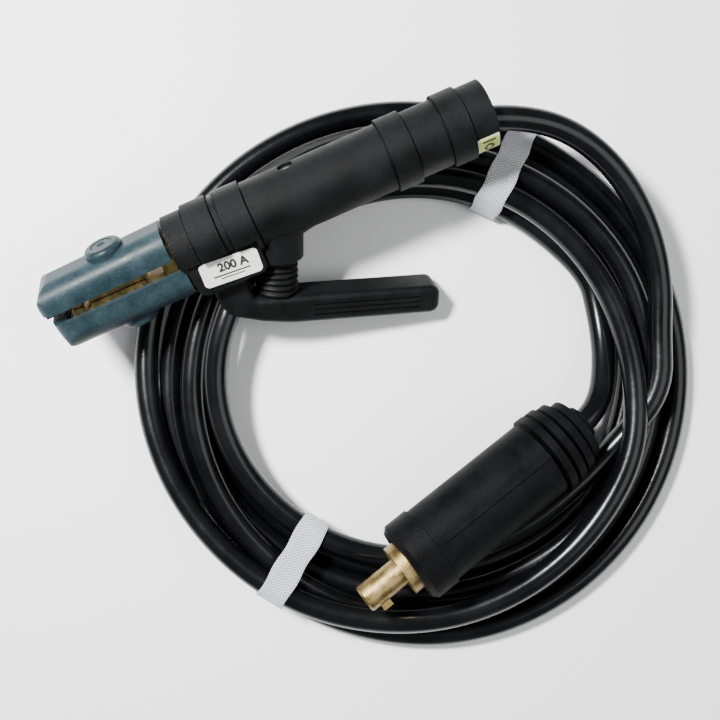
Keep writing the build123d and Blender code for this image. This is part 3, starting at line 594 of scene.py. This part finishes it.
def makeBellows():
    deselectAll()
    bpy.ops.mesh.primitive_circle_add(vertices=72, radius=bellows["valley"] * mm, location=(0, 0, 0))
    piece = bpy.context.object
    piece.name = "bellowsBoot"
    bpy.ops.object.mode_set(mode="EDIT")
    bpy.ops.mesh.select_all(action="SELECT")
    stepsPerRib = 8
    rise = (bellows["length"] - 2 * bellows["start"]) * mm / bellows["ribs"] / stepsPerRib
    size = bellows["valley"]
    for step in range(1, bellows["ribs"] * stepsPerRib + 1):
        swell = 0.5 - 0.5 * math.cos(2 * math.pi * step / stepsPerRib)
        wanted = bellows["valley"] + (bellows["radius"] - bellows["valley"]) * swell**0.6
        bpy.ops.mesh.extrude_region_move(TRANSFORM_OT_translate={"value": (0, 0, rise)})
        bpy.ops.transform.resize(value=(wanted / size, wanted / size, 1))
        size = wanted
    bpy.ops.mesh.select_all(action="SELECT")
    bpy.ops.mesh.normals_make_consistent(inside=False)
    bpy.ops.object.mode_set(mode="OBJECT")
    wall = piece.modifiers.new("wall", "SOLIDIFY")
    wall.thickness = bellows["wall"] * mm
    wall.offset = -1
    bpy.ops.object.modifier_apply(modifier="wall")
    bpy.ops.object.shade_smooth_by_angle(angle=math.radians(50))
    standOn(piece, springFoot + springWay * bellows["start"] * mm, springWay)
    return piece


def makeSpring():
    curve = bpy.data.curves.new("jawSpring", "CURVE")
    curve.dimensions = "3D"
    spline = curve.splines.new("NURBS")
    perTurn = 16
    count = spring["turns"] * perTurn + 1
    size = spring["radius"] * mm
    spline.points.add(count - 1)
    for k, spot in enumerate(spline.points):
        turn = 2 * math.pi * k / perTurn
        rise = spring["start"] + spring["length"] * k / (count - 1)
        spot.co = (size * math.cos(turn), size * math.sin(turn), rise * mm, 1)
    spline.order_u = 4
    spline.use_endpoint_u = True
    curve.bevel_depth = spring["wire"] * mm
    curve.bevel_resolution = 3
    curve.use_fill_caps = True
    piece = bpy.data.objects.new("jawSpring", curve)
    bpy.context.scene.collection.objects.link(piece)
    pick(piece)
    bpy.ops.object.convert(target="MESH")
    piece = bpy.context.object
    bpy.ops.object.shade_smooth()
    standOn(piece, springFoot, springWay)
    return piece


flexing = ((makeBellows(), "bellows", "bellowsRubber"), (makeSpring(), "spring", "steel"))
for piece, node, finish in flexing:
    dress(piece, finish)
    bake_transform(piece)
    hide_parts(node)
print("bellows and spring made")

# labels
rating = {"middle": (84.6, -13.2), "side": -13.2, "film": 0.2, "tilt": 5.0,
          "text": "200 A", "size": 5.6, "ink": 0.06, "bold": 0.25}
cameraSide = (holderSpot(0, -1, 0) - holderSpot(0, 0, 0)).normalized()
alongHolder = Vector((1, 0, 0))


def onRating(shiftX, shiftZ):
    # a place on the rating label's face, with its turn
    spot = holderSpot(rating["middle"][0], rating["side"] - rating["film"], rating["middle"][1])
    up = cameraSide.cross(alongHolder)
    tilted = Matrix.Rotation(-math.radians(rating["tilt"]), 3, "Z")
    turn = Matrix((alongHolder, up, cameraSide)).transposed() @ tilted
    return Matrix.Translation(spot) @ turn.to_4x4() @ Matrix.Translation((shiftX * mm, shiftZ * mm, 0))


def inkText(name, words, size, shiftX, shiftZ):
    deselectAll()
    bpy.ops.object.text_add()
    piece = bpy.context.object
    piece.name = name
    piece.data.body = words
    piece.data.size = size * mm
    piece.data.align_x = "CENTER"
    piece.data.align_y = "CENTER"
    piece.data.extrude = rating["ink"] * mm / 2
    piece.data.offset = rating["bold"] * mm
    bpy.ops.object.convert(target="MESH")
    piece = bpy.context.object
    piece.matrix_world = onRating(shiftX, shiftZ) @ Matrix.Translation((0, 0, rating["ink"] * mm / 2))
    settle(piece)
    return piece


def inkBar(name, width, height, shiftX, shiftZ):
    deselectAll()
    bpy.ops.mesh.primitive_cube_add(size=1)
    piece = bpy.context.object
    piece.name = name
    piece.scale = (width * mm, height * mm, rating["ink"] * mm)
    settle(piece)
    piece.matrix_world = onRating(shiftX, shiftZ) @ Matrix.Translation((0, 0, rating["ink"] * mm / 2))
    settle(piece)
    return piece


ratingPieces = [
    inkText("ratingText", rating["text"], rating["size"], 1.5, 1.7),
    inkBar("ratingLine", 17.0, 0.7, 0, -1.9),
    inkBar("ratingLineShort", 11.0, 0.5, 0, -3.4),
]
for piece in ratingPieces:
    dress(piece, "labelInk")
    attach(piece, "holder")

emblem = {"angle": 216.0, "radius": 15.66, "x": 210.8}


def wrapped(name, finish, rings, lift):
    # a thin patch that follows the handle's round surface; rings are lists of (along, around) in mm
    verts, faces = [], []
    count = len(rings[0])
    for ring in rings:
        for along, around in ring:
            turn = math.radians(emblem["angle"]) + around / emblem["radius"]
            size = emblem["radius"] + lift
            spot = holderSpot(emblem["x"] + along, size * math.cos(turn), size * math.sin(turn))
            verts.append(tuple(spot))
    for ring in range(len(rings) - 1):
        for k in range(count):
            a, b = ring * count + k, ring * count + (k + 1) % count
            faces.append((a, b, b + count, a + count))
    mesh = bpy.data.meshes.new(name)
    mesh.from_pydata(verts, [], faces)
    piece = bpy.data.objects.new(name, mesh)
    bpy.context.scene.collection.objects.link(piece)
    pick(piece)
    bpy.ops.object.mode_set(mode="EDIT")
    bpy.ops.mesh.select_all(action="SELECT")
    bpy.ops.mesh.remove_doubles(threshold=0.000001)
    bpy.ops.mesh.normals_make_consistent(inside=False)
    bpy.ops.object.mode_set(mode="OBJECT")
    wall = piece.modifiers.new("wall", "SOLIDIFY")
    wall.thickness = 0.05 * mm
    bpy.ops.object.modifier_apply(modifier="wall")
    dress(piece, finish)
    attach(piece, "holder")
    return piece


def roundRings(radius, count=32):
    turns = [2 * math.pi * k / count for k in range(count)]
    return [[(radius * share * math.cos(turn), radius * share * math.sin(turn)) for turn in turns]
            for share in (1.0, 0.66, 0.33, 0.001)]


def squareRings(width, height, power, count=48):
    rings = []
    for share in (1.0, 0.75, 0.5, 0.25, 0.001):
        ring = []
        for k in range(count):
            turn = 2 * math.pi * k / count
            c, s = math.cos(turn), math.sin(turn)
            size = (abs(c) ** power + abs(s) ** power) ** (-1 / power)
            ring.append((share * size * c * width / 2, share * size * s * height / 2))
        rings.append(ring)
    return rings


def shifted(rings, around):
    return [[(a, b + around) for a, b in ring] for ring in rings]


# each mark lies a little above the one below it
wrapped("stickerField", "sticker", squareRings(8.8, 9.0, 8), 0.08)
wrapped("stickerDisc", "labelInk", shifted(roundRings(2.5), 1.2), 0.14)
wrapped("stickerDot", "sticker", shifted(roundRings(1.1), 1.2), 0.20)
wrapped("stickerBar", "labelInk", shifted(squareRings(6.4, 1.1, 8), -3.0), 0.14)
print("labels printed")

# floor and light
stage = {"tone": (0.93, 0.93, 0.925), "key": 21.0, "fill": 4.0, "sky": 0.30}
deselectAll()
bpy.ops.mesh.primitive_plane_add(size=4, location=(0.1, -0.07, floorZ - 0.0001))
floor = bpy.context.object
floor.name = "floor"
paper = bpy.data.materials.new("paper")
paper.use_nodes = True
paper.node_tree.nodes["Principled BSDF"].inputs["Base Color"].default_value = (*stage["tone"], 1)
paper.node_tree.nodes["Principled BSDF"].inputs["Roughness"].default_value = 0.7
floor.data.materials.append(paper)


def addLight(name, spot, aim, power, size):
    light = bpy.data.objects.new(name, bpy.data.lights.new(name, "AREA"))
    light.data.energy = power
    light.data.size = size
    light.location = spot
    light.rotation_euler = (Vector(aim) - Vector(spot)).to_track_quat("-Z", "Y").to_euler()
    bpy.context.scene.collection.objects.link(light)


aim = (0.1, -0.08, floorZ)
addLight("key", (-0.11, 0.26, 0.62), aim, stage["key"], 0.12)
addLight("fill", (0.55, -0.40, 0.70), aim, stage["fill"], 0.6)
world = bpy.data.worlds.new("sky")
bpy.context.scene.world = world
world.use_nodes = True
world.node_tree.nodes["Background"].inputs["Color"].default_value = (0.92, 0.95, 1.0, 1)
world.node_tree.nodes["Background"].inputs["Strength"].default_value = stage["sky"]
print("stage set")
